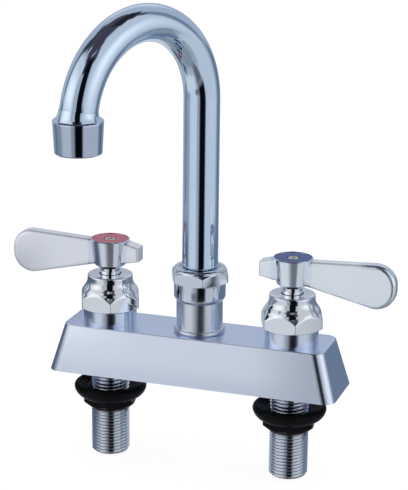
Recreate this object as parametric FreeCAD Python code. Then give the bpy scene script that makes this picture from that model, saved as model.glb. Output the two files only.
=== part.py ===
"""Deck-mount faucet: two lever valves on 4 in centres and a swivelling gooseneck spout.

Millimetres, +Z up. The origin is the middle of the body's underside, which lies on the sink deck.
The user stands at -Y, the hot valve is at -X and the cold valve at +X. Handles are shown shut.
"""

import FreeCAD, Part
import math
import os

V = FreeCAD.Vector
UP = V(0, 0, 1)
ORIGIN = V(0, 0, 0)

# Clearances between pieces
thread_clearance = 0.03
run_clearance = 0.05
film = 0.02
face_gap = 0.3

# Inlet shanks, 1/2-14 straight pipe thread
valve_spacing = 101.6
shank_radius = 10.4
shank_bore_radius = 7.6
shank_length = 49.0
shank_socket_depth = 8.0
shank_chamfer = 1.0
runout_width = 0.8
runout_depth = 0.6

# Mounting washer and nut, hanging part way down the shank
washer_drop = 9.5
washer_radius = 19.45
washer_height = 7.5
washer_rim = 3.4
washer_dish = 2.6
washer_foot_radius = 15.9
washer_clearance = 0.4
washer_hole_lip = 0.8
washer_flank_bulge = 0.8
washer_flank_share = 0.28
washer_crest_rise = 0.3
washer_rings = 3
washer_ring_depth = 0.35
washer_ring_width = 1.0
nut_flats = 26.4
nut_height = 6.3
nut_foot_radius = 11.2
nut_chamfer_share = 0.55
nut_turn_deg = 9.0

# Ceramic disc cartridge
seal_height = 3.0
seal_bore_radius = 5.2
seat_web = 3.0
port_radius = 5.0
disc_radius = 8.5
disc_height = 3.0
disc_port_deg = 84.0
disc_port_inner = 2.2
disc_port_outer = 7.0
cartridge_wall = 1.0
cartridge_skirt_gap = 2.0
chamber_gap = 1.4
ledge_width = 0.9
flange_height = 2.0
driver_width = 5.0
driver_sink = 1.2
driver_height = 4.4
driver_flange_height = 1.5
window_height = 3.6
window_width = 11.0
cartridge_neck_radius = 9.7

# Stem
stem_radius = 5.4
stem_seal_radius = 0.75
stem_seal_pitch = 6.0
stem_show = 4.0
drive_flats = 7.0
drive_corner_share = 0.66
drive_length = 9.5

# Body casting
collar_wall = 2.4
collar_height = 7.9
body_height = 25.6
body_overhang = 28.6
body_end_slope = 7.2
body_side_slope = 4.0
body_land = 2.3
body_corner_radius = 6.4
body_edge_round = 0.9
body_wall = 3.2
body_core_corner = 1.0
body_top_wall = 4.6
web_width = 31.0
waterway_radius = 3.6
waterway_wall = 3.0
waterway_lift = 0.4

# Bonnet
bonnet_overhang = 0.9
bonnet_hex_height = 5.7
bonnet_chamfer = 1.4
bonnet_shoulder = 3.2
bonnet_dome_height = 3.0
bonnet_dome_step = 0.1
bonnet_dome_bulge = 0.3
bonnet_neck_height = 3.6
bonnet_neck_flare = 1.4
bonnet_neck_sag = 0.18
bonnet_band_height = 3.0
bonnet_wall = 2.3
bonnet_top_wall = 2.5
bonnet_stem_gap = 0.6
bonnet_edge_round = 1.4
neck_gap = 0.2
hot_hex_deg = 21.2
cold_hex_deg = 22.2

# Lever handle
hub_bottom_radius = 6.9
hub_waist_radius = 8.5
hub_waist_height = 1.6
hub_top_radius = 10.5
hub_height = 15.5
hub_edge = 0.4
lever_reach = 55.3
lever_thickness = 8.0
lever_root_reach = 5.0
lever_drop = 0.9
lever_root_height = 13.1
lever_rise_deg = 2.6
lever_fall_deg = 13.1
lever_tip_radius = 10.8
lever_edge_round = 2.6
tail_reach = 17.4
tail_thickness = 9.0
tail_root_reach = 6.0
tail_drop = 0.1
tail_root_height = 13.0
tail_top_fall_deg = 15.6
tail_bottom_rise_deg = 11.0
tail_edge_round = 1.2

# Index ring and handle screw
index_radius = 9.95
index_recess = 1.5
index_height = 1.2
screw_head_radius = 3.0
screw_head_height = 2.1
screw_socket_radius = 1.5
screw_socket_depth = 1.2
screw_radius = 2.0
screw_bite = 9.0
head_gap = 0.2

# Spout post
stub_radius = 9.6
sump_radius = 8.0
bead_radius = 13.6
bead_height = 2.5
post_height = 17.4
post_step = 0.75
post_bead_foot = 0.4
post_bead_share = 0.48
neck_wall = 1.3
neck_height = 8.0
post_floor = 4.4
post_passage_radius = 7.4

# Spout nut
spout_nut_wall = 2.15
spout_nut_foot = 2.6
spout_nut_foot_step = 0.5
spout_nut_barrel = 10.0
spout_nut_hex_height = 5.2
spout_nut_flats = 28.6
spout_nut_hex_step = 0.1
spout_nut_hex_chamfer = 1.4
spout_nut_crown = 3.3
spout_nut_crown_share = 0.45
spout_nut_crown_bulge = 0.3
spout_nut_crown_ease = 0.22
spout_nut_lip_radius = 12.4
spout_nut_recess_radius = 11.2
spout_nut_recess = 1.3
spout_nut_hex_deg = 23.5

# Spout tube and its foot
tube_radius = 9.525
tube_wall = 1.2
arch_radius = 44.45
arch_centre_height = 151.2
rest_swivel_deg = 23.5
foot_wall = 0.7
foot_flange_width = 1.05
foot_flange_height = 2.35
foot_tail = 8.6
foot_bore_radius = 7.6
foot_seal_radius = 0.68
foot_seal_pitch = 3.6
thrust_height = 1.0
thrust_inset = 0.1

# Aerator
tip_clearance = 0.15
tip_collar_wall = 1.25
tip_rim_height = 1.3
tip_rim_rise = 3.0
tip_rim_radius = 12.6
tip_rim_chamfer = 0.5
tip_flare_radius = 11.6
tip_flare_height = 4.6
tip_flare_edge = 0.12
tip_flare_steps = 4
aerator_height = 15.4
aerator_top_radius = 12.5
aerator_bottom_radius = 11.75
aerator_chamfer = 0.6
aerator_lip_width = 1.3
aerator_lip_height = 1.4
aerator_washer_height = 1.4
insert_height = 4.4
insert_hole_radius = 0.85
insert_hole_rows = 2
insert_hole_pitch = 3.6

# Valve heights and radii that follow from the sizes above
shank_top = shank_socket_depth - film
chamber_floor = shank_socket_depth + seat_web
fixed_disc_bottom = chamber_floor + seal_height
moving_disc_bottom = fixed_disc_bottom + disc_height + film
driver_bottom = moving_disc_bottom + disc_height - driver_sink + film
driver_flange_bottom = driver_bottom + driver_height
driver_flange_top = driver_flange_bottom + driver_flange_height
ledge_height = driver_flange_top - flange_height + cartridge_wall
flange_top = ledge_height + flange_height
cartridge_bore_radius = disc_radius + run_clearance
cartridge_radius = cartridge_bore_radius + cartridge_wall
chamber_radius = cartridge_radius + chamber_gap
flange_radius = chamber_radius + ledge_width
bonnet_thread_radius = flange_radius + run_clearance
bonnet_socket_radius = bonnet_thread_radius + thread_clearance
collar_radius = bonnet_socket_radius + collar_wall
collar_top = body_height + collar_height
stem_bore_radius = stem_radius + run_clearance

bonnet_flats = 2 * (collar_radius + bonnet_overhang)
bonnet_corner_radius = bonnet_flats / math.sqrt(3)
bonnet_cavity_radius = cartridge_neck_radius + neck_gap
bonnet_band_radius = bonnet_cavity_radius + bonnet_wall
bonnet_hex_top = collar_top + bonnet_hex_height
bonnet_shoulder_top = bonnet_hex_top + bonnet_shoulder
bonnet_dome_top = bonnet_shoulder_top + bonnet_dome_height
bonnet_neck_top = bonnet_dome_top + bonnet_neck_height
bonnet_top = bonnet_neck_top + bonnet_band_height
bonnet_ceiling = bonnet_top - bonnet_top_wall
cartridge_top = bonnet_ceiling - face_gap

hub_bottom = bonnet_top + stem_show
hub_top = hub_bottom + hub_height
drive_top = hub_bottom + drive_length
index_floor = hub_top - index_recess
screw_head_bottom = hub_top - face_gap - screw_head_height

# Body sizes that follow
body_length = valve_spacing + 2 * body_overhang
body_depth_top = 2 * (collar_radius + body_land)
body_depth = body_depth_top + 2 * body_side_slope
valve_x = valve_spacing / 2
waterway_height = chamber_floor + waterway_radius + waterway_lift
sump_floor = waterway_height - waterway_radius - waterway_lift
sump_top = waterway_height + waterway_radius + waterway_lift

# Spout heights and radii that follow
foot_socket_radius = tube_radius + film
foot_radius = foot_socket_radius + foot_wall
post_bore_radius = foot_radius + run_clearance
neck_radius = post_bore_radius + neck_wall
post_radius = neck_radius + post_step
bead_top = body_height + bead_height
post_top = body_height + post_height
neck_top = post_top + neck_height
post_bore_floor = body_height + post_floor
thrust_top = neck_top + thrust_height
foot_flange_bottom = thrust_top + run_clearance
foot_flange_top = foot_flange_bottom + foot_flange_height
foot_flange_radius = foot_radius + foot_flange_width
foot_bottom = post_bore_floor + face_gap
tube_bottom = foot_bottom + foot_tail
spout_nut_bore_radius = neck_radius + thread_clearance
spout_nut_radius = spout_nut_bore_radius + spout_nut_wall
spout_nut_shoulder = foot_flange_top + run_clearance
spout_nut_hex_bottom = post_top + spout_nut_barrel
spout_nut_hex_top = spout_nut_hex_bottom + spout_nut_hex_height
spout_nut_top = spout_nut_hex_top + spout_nut_crown

# Aerator heights and radii that follow, at the spout's tip
spout_reach = 2 * arch_radius
tip_bore_radius = tube_radius + tip_clearance
tip_sleeve_radius = tip_bore_radius + tip_collar_wall
tip_rim_top = arch_centre_height + tip_rim_rise
tip_rim_bottom = tip_rim_top - tip_rim_height
aerator_top = tip_rim_bottom - film
aerator_bottom = aerator_top - aerator_height
aerator_bore_radius = tip_sleeve_radius + thread_clearance
insert_bottom = aerator_bottom + aerator_lip_height
insert_top = insert_bottom + insert_height
aerator_washer_top = insert_top + aerator_washer_height
tube_tip = aerator_washer_top + film
insert_radius = aerator_bottom_radius - aerator_lip_width


def cylinder(radius, bottom, top):
    """An upright cylinder on the Z axis."""
    return Part.makeCylinder(radius, top - bottom, V(0, 0, bottom))


def ring(outer, inner, bottom, top):
    """An upright ring on the Z axis."""
    return cylinder(outer, bottom, top).cut(cylinder(inner, bottom - 1, top + 1))


def box(length, depth, bottom, top):
    """A block centred on the Z axis."""
    return Part.makeBox(length, depth, top - bottom, V(-length / 2, -depth / 2, bottom))


def outline(start, *steps):
    """A closed wire in the XZ plane. A step is a point, or a pair: a point on an arc and its end."""
    edges = []
    here = V(start[0], 0, start[1])
    for step in steps + (start,):
        if isinstance(step[0], tuple):
            middle = V(step[0][0], 0, step[0][1])
            end = V(step[1][0], 0, step[1][1])
            edges.append(Part.Arc(here, middle, end).toShape())
        else:
            end = V(step[0], 0, step[1])
            edges.append(Part.makeLine(here, end))
        here = end
    return Part.Wire(edges)


def turned(start, *steps):
    """A solid of revolution about Z from a profile of (radius, height) points."""
    return Part.Face(outline(start, *steps)).revolve(ORIGIN, UP, 360)


def hexagon(flats, bottom, top, turn_deg):
    """A hexagonal prism with a corner turn_deg from the front, towards +X."""
    corner = flats / math.sqrt(3)
    angles = [math.radians(turn_deg - 90 + 60 * i) for i in range(7)]
    points = [V(corner * math.cos(a), corner * math.sin(a), bottom) for a in angles]
    return Part.Face(Part.makePolygon(points)).extrude(V(0, 0, top - bottom))


def square(flats, bottom, top):
    """A square bar with its corners just broken."""
    bar = box(flats, flats, bottom, top)
    return bar.common(cylinder(flats * drive_corner_share, bottom, top))


def rounded_rectangle(length, depth, radius, height):
    """A level rounded rectangle as a closed wire."""
    x, y = length / 2, depth / 2
    c = radius * (1 - math.sqrt(0.5))
    edges = []
    corners = [(x, y, -1, -1), (-x, y, 1, -1), (-x, -y, 1, 1), (x, -y, -1, 1)]
    for i, (cx, cy, sx, sy) in enumerate(corners):
        across = V(cx + sx * radius, cy, height)
        along = V(cx, cy + sy * radius, height)
        first, last = (along, across) if i % 2 == 0 else (across, along)
        edges.append(Part.Arc(first, V(cx + sx * c, cy + sy * c, height), last).toShape())
        nx, ny, nsx, nsy = corners[(i + 1) % 4]
        if i % 2 == 0:
            following = V(nx + nsx * radius, ny, height)
        else:
            following = V(nx, ny + nsy * radius, height)
        edges.append(Part.makeLine(last, following))
    return Part.Wire(edges)


def edges_at(shape, height):
    """The shape's edges that lie level at this height."""
    return [e for e in shape.Edges if all(abs(v.Z - height) < 1e-4 for v in e.Vertexes)]


def at_valve(shape, side, turn_deg=0.0):
    """The shape moved from the Z axis to the valve at side -1 (hot) or 1 (cold)."""
    placed = shape.copy()
    placed.rotate(ORIGIN, UP, turn_deg)
    placed.translate(V(side * valve_x, 0, 0))
    return placed


def swivelled(shape):
    """The shape turned from straight ahead to where the spout stands at rest."""
    placed = shape.copy()
    placed.rotate(ORIGIN, UP, -rest_swivel_deg)
    return placed


def at_tip(shape):
    """The shape moved from the Z axis to the spout's tip."""
    placed = shape.copy()
    placed.translate(V(0, -spout_reach, 0))
    return swivelled(placed)


def body_shell(offset, bottom, top):
    """The sloping block of the body, drawn in by offset, between two heights."""
    wires = []
    for height in (bottom, top):
        up = height / body_height
        length = body_length - 2 * body_end_slope * up - 2 * offset
        depth = body_depth - 2 * body_side_slope * up - 2 * offset
        radius = max(body_corner_radius - offset, body_core_corner)
        wires.append(rounded_rectangle(length, depth, radius, height))
    return Part.makeLoft(wires, True, True)


def waterway(radius):
    """The cross passage from valve to valve, as a bar along X."""
    start = V(-valve_x, 0, waterway_height)
    return Part.makeCylinder(radius, 2 * valve_x, start, V(1, 0, 0))


def deck_body():
    """The cored casting: sloping shell, valve collars, cross passage and the spout's web."""
    block = body_shell(0, 0, body_height)
    block = block.makeFillet(body_edge_round, edges_at(block, body_height))
    cored = body_shell(body_wall, -1, body_height - body_top_wall)
    cored = cored.cut(box(web_width, 2 * body_depth, -2, body_height))
    cored = cored.cut(waterway(waterway_radius + waterway_wall))
    valve = turned(
        (0, -1),
        (shank_radius + thread_clearance, -1),
        (shank_radius + thread_clearance, shank_socket_depth),
        (port_radius, shank_socket_depth),
        (port_radius, chamber_floor),
        (chamber_radius, chamber_floor),
        (chamber_radius, ledge_height),
        (bonnet_socket_radius, ledge_height),
        (bonnet_socket_radius, collar_top + 1),
        (0, collar_top + 1),
    )
    for side in (-1, 1):
        cored = cored.cut(at_valve(cylinder(collar_radius, -2, body_height), side))
        block = block.fuse(at_valve(cylinder(collar_radius, body_height / 2, collar_top), side))
    block = block.cut(cored)
    for side in (-1, 1):
        block = block.cut(at_valve(valve, side))
    block = block.cut(waterway(waterway_radius))
    block = block.cut(cylinder(sump_radius, sump_floor, sump_top))
    block = block.cut(cylinder(stub_radius + thread_clearance, sump_top, body_height + 1))
    return block.removeSplitter()


def inlet_shank():
    """The threaded supply nipple, with a narrow runout between its two threads."""
    runout_top = -washer_drop - washer_height - nut_height - film
    shank = turned(
        (shank_bore_radius, -shank_length),
        (shank_radius - shank_chamfer, -shank_length),
        (shank_radius, shank_chamfer - shank_length),
        (shank_radius, shank_top),
        (shank_bore_radius, shank_top),
    )
    groove_radius = shank_radius - runout_depth
    groove = ring(shank_radius + 1, groove_radius, runout_top - runout_width, runout_top)
    return shank.cut(groove)


def mounting_washer():
    """The dished washer that clamps the deck from below."""
    top = -washer_drop
    bottom = top - washer_height
    hole = shank_radius + washer_clearance
    lip = hole + washer_hole_lip
    crest = washer_radius - washer_rim / 2
    flank = (washer_foot_radius + washer_radius) / 2 + washer_flank_bulge
    washer = turned(
        (hole, bottom),
        (washer_foot_radius, bottom),
        ((flank, bottom + washer_height * washer_flank_share), (washer_radius, top - washer_rim)),
        ((washer_radius, top - washer_rim / 2 + washer_crest_rise), (crest, top)),
        (lip, top - washer_dish),
        (hole, top - washer_dish),
    )
    pitch = (crest - lip) / (washer_rings + 1)
    half = washer_ring_width / 2
    for i in range(washer_rings):
        radius = lip + pitch * (i + 1)
        floor = top - washer_dish * (crest - radius) / (crest - lip) - washer_ring_depth
        washer = washer.cut(ring(radius + half, radius - half, floor, top + 1))
    return washer


def mounting_nut():
    """The hexagonal nut under the washer, chamfered towards its foot."""
    top = -washer_drop - washer_height - film
    bottom = top - nut_height
    corner = nut_flats / math.sqrt(3)
    body = turned(
        (shank_radius + run_clearance, bottom),
        (nut_foot_radius, bottom),
        (corner, bottom + nut_height * nut_chamfer_share),
        (corner, top),
        (shank_radius + run_clearance, top),
    )
    return body.common(hexagon(nut_flats, bottom - 1, top + 1, nut_turn_deg))


def disc_with_ports(bottom, top):
    """A ceramic disc with two opposite port sectors, along X."""
    disc = cylinder(disc_radius, bottom, top)
    start = V(0, 0, bottom - 1)
    height = top - bottom + 2
    port = Part.makeCylinder(disc_port_outer, height, start, UP, disc_port_deg)
    port = port.cut(cylinder(disc_port_inner, bottom - 1, top + 1))
    port.rotate(ORIGIN, UP, -disc_port_deg / 2)
    opposite = port.copy()
    opposite.rotate(ORIGIN, UP, 180)
    return disc.cut(port).cut(opposite)


def seat_seal():
    """The rubber seal between the chamber floor and the fixed disc."""
    return ring(disc_radius, seal_bore_radius, chamber_floor, fixed_disc_bottom)


def fixed_disc():
    """The lower ceramic disc, ports along X."""
    return disc_with_ports(fixed_disc_bottom, fixed_disc_bottom + disc_height)


def moving_disc():
    """The upper ceramic disc, shut at rest, with a slot across its top for the driver."""
    top = moving_disc_bottom + disc_height
    disc = disc_with_ports(moving_disc_bottom, top)
    disc.rotate(ORIGIN, UP, 90)
    slot = box(2 * disc_radius + 2, driver_width + 2 * film, driver_bottom - film, top + 1)
    return disc.cut(slot)


def cartridge():
    """The cartridge housing: skirt over the discs, flange on the ledge, neck round the stem."""
    skirt_bottom = chamber_floor + cartridge_skirt_gap
    shoulder = driver_flange_top + run_clearance
    housing = turned(
        (cartridge_bore_radius, skirt_bottom),
        (cartridge_radius, skirt_bottom),
        (cartridge_radius, ledge_height),
        (flange_radius, ledge_height),
        (flange_radius, flange_top),
        (cartridge_neck_radius, flange_top),
        (cartridge_neck_radius, cartridge_top),
        (stem_bore_radius, cartridge_top),
        (stem_bore_radius, shoulder),
        (cartridge_bore_radius, shoulder),
    )
    window_bottom = moving_disc_bottom + disc_height
    window = box(4 * cartridge_radius, window_width, window_bottom, window_bottom + window_height)
    return housing.cut(window)


def stem():
    """The spindle: driver bar and flange below, grooved shaft, square drive and screw hole above."""
    bar = box(2 * disc_radius, driver_width, driver_bottom, driver_flange_bottom)
    bar = bar.common(cylinder(disc_radius - run_clearance, driver_bottom, driver_flange_bottom))
    spindle = turned(
        (0, driver_flange_bottom),
        (disc_radius - run_clearance, driver_flange_bottom),
        (disc_radius - run_clearance, driver_flange_top),
        (stem_radius, driver_flange_top),
        (stem_radius, hub_bottom),
        (0, hub_bottom),
    )
    spindle = spindle.fuse(bar).fuse(square(drive_flats, hub_bottom - 1, drive_top))
    for height in stem_seal_heights():
        spindle = spindle.cut(seal_groove(stem_radius, stem_seal_radius, height))
    return spindle.cut(cylinder(screw_radius + film, drive_top - screw_bite, drive_top + 1))


def stem_seal_heights():
    """Where the two stem O-rings lie, inside the cartridge neck."""
    middle = (flange_top + cartridge_top) / 2
    return [middle - stem_seal_pitch / 2, middle + stem_seal_pitch / 2]


def seal_groove(outer, section, height):
    """The square groove that holds one O-ring of this section flush with the outside radius."""
    half = section + film
    return ring(outer + 1, outer - 2 * section, height - half, height + half)


def o_rings(outer, section, heights):
    """Rings of round section whose outside has the given radius."""
    return Part.makeCompound(
        [Part.makeTorus(outer - section, section - film, V(0, 0, h)) for h in heights]
    )


def stem_seals():
    """The two stem O-rings in their grooves."""
    return o_rings(stem_radius, stem_seal_radius, stem_seal_heights())


def bonnet(turn_deg):
    """The bonnet nut: threaded skirt, chamfered hexagon, domed shoulder, plain band and top."""
    flat = bonnet_flats / 2
    corner = bonnet_corner_radius
    band = bonnet_band_radius
    dome_foot = flat + bonnet_dome_step
    dome_head = band + bonnet_neck_flare
    dome_bulge = (dome_foot + dome_head) / 2 + bonnet_dome_bulge
    neck_sag = (dome_head + band) / 2 - bonnet_neck_sag
    form = turned(
        (bonnet_cavity_radius, flange_top),
        (bonnet_thread_radius, flange_top),
        (bonnet_thread_radius, collar_top),
        (flat, collar_top),
        (corner, collar_top + bonnet_chamfer),
        (corner, bonnet_hex_top),
        (dome_foot, bonnet_shoulder_top),
        ((dome_bulge, (bonnet_shoulder_top + bonnet_dome_top) / 2), (dome_head, bonnet_dome_top)),
        ((neck_sag, (bonnet_dome_top + bonnet_neck_top) / 2), (band, bonnet_neck_top)),
        (band, bonnet_top),
        (stem_radius + bonnet_stem_gap, bonnet_top),
        (stem_radius + bonnet_stem_gap, bonnet_ceiling),
        (bonnet_cavity_radius, bonnet_ceiling),
    )
    rim = [e for e in edges_at(form, bonnet_top) if e.BoundBox.XMax > bonnet_cavity_radius]
    form = form.makeFillet(bonnet_edge_round, rim)
    return form.common(hexagon(bonnet_flats, flange_top - 1, bonnet_top + 1, turn_deg))


def paddle(root, reach, thickness, top, height, rise_deg, fall_deg, tip_radius, edge_round):
    """A flat blade along +X from its root, its top and bottom edges sloping, its end rounded."""
    high = top + (reach - root) * math.tan(math.radians(rise_deg))
    low = top - height - (reach - root) * math.tan(math.radians(fall_deg))
    wire = outline((root, top - height), (root, top), (reach, high), (reach, low))
    blade = Part.Face(wire).extrude(V(0, thickness, 0))
    blade.translate(V(0, -thickness / 2, 0))
    if tip_radius:
        ends = [e for e in blade.Edges if all(abs(v.X - reach) < 1e-4 for v in e.Vertexes)]
        ends = [e for e in ends if abs(e.Vertexes[0].Z - e.Vertexes[1].Z) < 1e-4]
        blade = blade.makeFillet(tip_radius, ends)
    rims = []
    for edge in blade.Edges:
        on_side = all(abs(abs(v.Y) - thickness / 2) < 1e-4 for v in edge.Vertexes)
        across = abs(edge.Vertexes[0].Y - edge.Vertexes[-1].Y) > 1e-4
        at_root = all(abs(v.X - root) < 1e-4 for v in edge.Vertexes)
        if on_side and not across and not at_root:
            rims.append(edge)
    return blade.makeFillet(edge_round, rims)


def handle():
    """Hub, lever and tail in one casting, lever along +X, bored for the stem, screw and index."""
    hub = turned(
        (0, hub_bottom),
        (hub_bottom_radius, hub_bottom),
        (hub_waist_radius, hub_bottom + hub_waist_height),
        (hub_top_radius, hub_top - hub_edge),
        (hub_top_radius - hub_edge, hub_top),
        (0, hub_top),
    )
    lever = paddle(
        lever_root_reach,
        lever_reach,
        lever_thickness,
        hub_top - lever_drop,
        lever_root_height,
        lever_rise_deg,
        lever_fall_deg,
        lever_tip_radius,
        lever_edge_round,
    )
    tail = paddle(
        tail_root_reach,
        tail_reach,
        tail_thickness,
        hub_top - tail_drop,
        tail_root_height,
        -tail_top_fall_deg,
        -tail_bottom_rise_deg,
        0,
        tail_edge_round,
    )
    tail.rotate(ORIGIN, UP, 180)
    whole = hub.fuse(lever).fuse(tail)
    whole = whole.cut(square(drive_flats + 2 * film, hub_bottom - 1, drive_top + face_gap))
    whole = whole.cut(cylinder(screw_radius + head_gap, drive_top, hub_top + 1))
    whole = whole.cut(cylinder(screw_head_radius + head_gap, screw_head_bottom, hub_top + 1))
    return whole.cut(cylinder(index_radius + film, index_floor, hub_top + 1))


def index_ring():
    """The coloured ring pressed into the top of the hub."""
    return ring(index_radius, screw_head_radius + head_gap, index_floor, index_floor + index_height)


def handle_screw():
    """The screw that holds the handle on the stem."""
    top = screw_head_bottom + screw_head_height
    screw = turned(
        (0, drive_top - screw_bite + face_gap),
        (screw_radius, drive_top - screw_bite + face_gap),
        (screw_radius, screw_head_bottom),
        (screw_head_radius, screw_head_bottom),
        (screw_head_radius, top - hub_edge),
        (screw_head_radius - hub_edge, top),
        (0, top),
    )
    return screw.cut(hexagon(2 * screw_socket_radius, top - screw_socket_depth, top + 1, 0))


def spout_post():
    """The post screwed into the body: stub, bead, plain barrel and threaded neck."""
    waist = post_radius + (bead_radius - post_radius) * post_bead_foot
    return turned(
        (post_passage_radius, sump_top),
        (stub_radius, sump_top),
        (stub_radius, body_height),
        (waist, body_height),
        ((bead_radius, body_height + bead_height * post_bead_share), (waist, bead_top)),
        (post_radius, bead_top),
        (post_radius, post_top),
        (neck_radius, post_top),
        (neck_radius, neck_top),
        (post_bore_radius, neck_top),
        (post_bore_radius, post_bore_floor),
        (post_passage_radius, post_bore_floor),
    )


def spout_nut():
    """The nut that keeps the spout down: plain barrel below, hexagon above, recessed crown."""
    flat = spout_nut_flats / 2
    corner = spout_nut_flats / math.sqrt(3)
    lip = spout_nut_lip_radius
    crown_height = spout_nut_crown
    shoulder = (flat + lip) / 2 + spout_nut_crown_bulge
    form = turned(
        (spout_nut_bore_radius, post_top),
        (spout_nut_bore_radius + spout_nut_foot_step, post_top),
        (spout_nut_radius, post_top + spout_nut_foot),
        (spout_nut_radius, spout_nut_hex_bottom),
        (flat + spout_nut_hex_step, spout_nut_hex_bottom + spout_nut_hex_step),
        (corner, spout_nut_hex_bottom + spout_nut_hex_chamfer),
        (corner, spout_nut_hex_top),
        (flat, spout_nut_hex_top + crown_height * spout_nut_crown_share),
        ((shoulder, spout_nut_top - crown_height * spout_nut_crown_ease), (lip, spout_nut_top)),
        (spout_nut_recess_radius, spout_nut_top),
        (spout_nut_recess_radius, spout_nut_top - spout_nut_recess),
        (tube_radius + run_clearance, spout_nut_top - spout_nut_recess),
        (tube_radius + run_clearance, spout_nut_shoulder),
        (spout_nut_bore_radius, spout_nut_shoulder),
    )
    return form.common(hexagon(spout_nut_flats, post_top - 1, spout_nut_top + 1, spout_nut_hex_deg))


def thrust_washer():
    """The slippery washer on the post's neck, under the spout's foot."""
    return ring(neck_radius - thrust_inset, post_bore_radius, neck_top, thrust_top)


def foot_seal_heights():
    """Where the two O-rings lie on the spout's foot."""
    first = foot_bottom + foot_seal_pitch / 2 + foot_seal_radius
    return [first, first + foot_seal_pitch]


def spout_foot():
    """The sleeve brazed on the tube: flange above, two O-ring grooves below."""
    sleeve = turned(
        (foot_bore_radius, foot_bottom),
        (foot_radius, foot_bottom),
        (foot_radius, foot_flange_bottom),
        (foot_flange_radius, foot_flange_bottom),
        (foot_flange_radius, foot_flange_top),
        (foot_socket_radius, foot_flange_top),
        (foot_socket_radius, tube_bottom),
        (foot_bore_radius, tube_bottom),
    )
    for height in foot_seal_heights():
        sleeve = sleeve.cut(seal_groove(foot_radius, foot_seal_radius, height))
    return swivelled(sleeve)


def foot_seals():
    """The two O-rings that seal the spout in the post."""
    return swivelled(o_rings(foot_radius, foot_seal_radius, foot_seal_heights()))


def arch_bar(radius):
    """The gooseneck's half-round arch as a solid bar."""
    section = Part.Face(Part.Wire(Part.Circle(V(0, 0, arch_centre_height), UP, radius).toShape()))
    return section.revolve(V(0, -arch_radius, arch_centre_height), V(1, 0, 0), 180)


def spout_tube():
    """The gooseneck: a straight riser, a half-round arch and a short straight tip."""
    inner = tube_radius - tube_wall
    arch = arch_bar(tube_radius).cut(arch_bar(inner))
    tip = ring(tube_radius, inner, tube_tip, arch_centre_height)
    tip.translate(V(0, -spout_reach, 0))
    riser = ring(tube_radius, inner, tube_bottom, arch_centre_height)
    return swivelled(riser.fuse(arch).fuse(tip).removeSplitter())


def tip_flare():
    """The collar's flare: round sections square to the bent tube, narrowing on to it."""
    edge = tip_bore_radius + tip_flare_edge
    sections = []
    for i in range(tip_flare_steps + 1):
        share = i / tip_flare_steps
        rise = tip_rim_rise - tip_rim_chamfer + tip_flare_height * share
        bend = math.asin(rise / arch_radius) * share
        middle = V(0, arch_radius * (1 - math.cos(bend)), arch_centre_height + rise)
        square_to = V(0, math.sin(bend), math.cos(bend))
        radius = edge + (tip_flare_radius - edge) * (1 - share) ** 2
        sections.append(Part.Wire(Part.Circle(middle, square_to, radius).toShape()))
    return Part.makeLoft(sections, True)


def tip_collar():
    """The threaded collar brazed on the spout's tip: a thin rim above the aerator, then a flare."""
    sleeve = turned(
        (0, tube_tip),
        (tip_sleeve_radius, tube_tip),
        (tip_sleeve_radius, tip_rim_bottom),
        (tip_rim_radius, tip_rim_bottom),
        (tip_rim_radius, tip_rim_top - tip_rim_chamfer),
        (tip_rim_radius - tip_rim_chamfer, tip_rim_top),
        (0, tip_rim_top),
    )
    bend = arch_bar(tip_bore_radius)
    bend.translate(V(0, spout_reach, 0))
    collar = sleeve.fuse(tip_flare())
    return at_tip(collar.cut(cylinder(tip_bore_radius, tube_tip - 1, arch_centre_height)).cut(bend))


def aerator_shell():
    """The tapered cap screwed on the collar, with a lip that holds the insert."""
    return at_tip(
        turned(
            (insert_radius - aerator_lip_width, aerator_bottom),
            (aerator_bottom_radius - aerator_chamfer, aerator_bottom),
            (aerator_bottom_radius, aerator_bottom + aerator_chamfer),
            (aerator_top_radius, aerator_top),
            (aerator_bore_radius, aerator_top),
            (aerator_bore_radius, insert_top),
            (insert_radius + film, insert_top),
            (insert_radius + film, insert_bottom),
            (insert_radius - aerator_lip_width, insert_bottom),
        )
    )


def aerator_insert():
    """The flow insert, holed for the streams of water."""
    insert = cylinder(insert_radius, insert_bottom, insert_top)
    insert = insert.cut(cylinder(insert_hole_radius, insert_bottom - 1, insert_top + 1))
    for row in range(1, insert_hole_rows + 1):
        for i in range(6 * row):
            hole = cylinder(insert_hole_radius, insert_bottom - 1, insert_top + 1)
            hole.translate(V(row * insert_hole_pitch, 0, 0))
            hole.rotate(ORIGIN, UP, 60.0 / row * i)
            insert = insert.cut(hole)
    return at_tip(insert)


def aerator_washer():
    """The rubber washer squeezed between the insert and the tube."""
    outer = tip_sleeve_radius - film
    return at_tip(ring(outer, tube_radius - tube_wall, insert_top, aerator_washer_top))


def write(name, shape):
    """One STEP file per piece."""
    shape.exportStep(f"parts/{name}.step")


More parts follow.
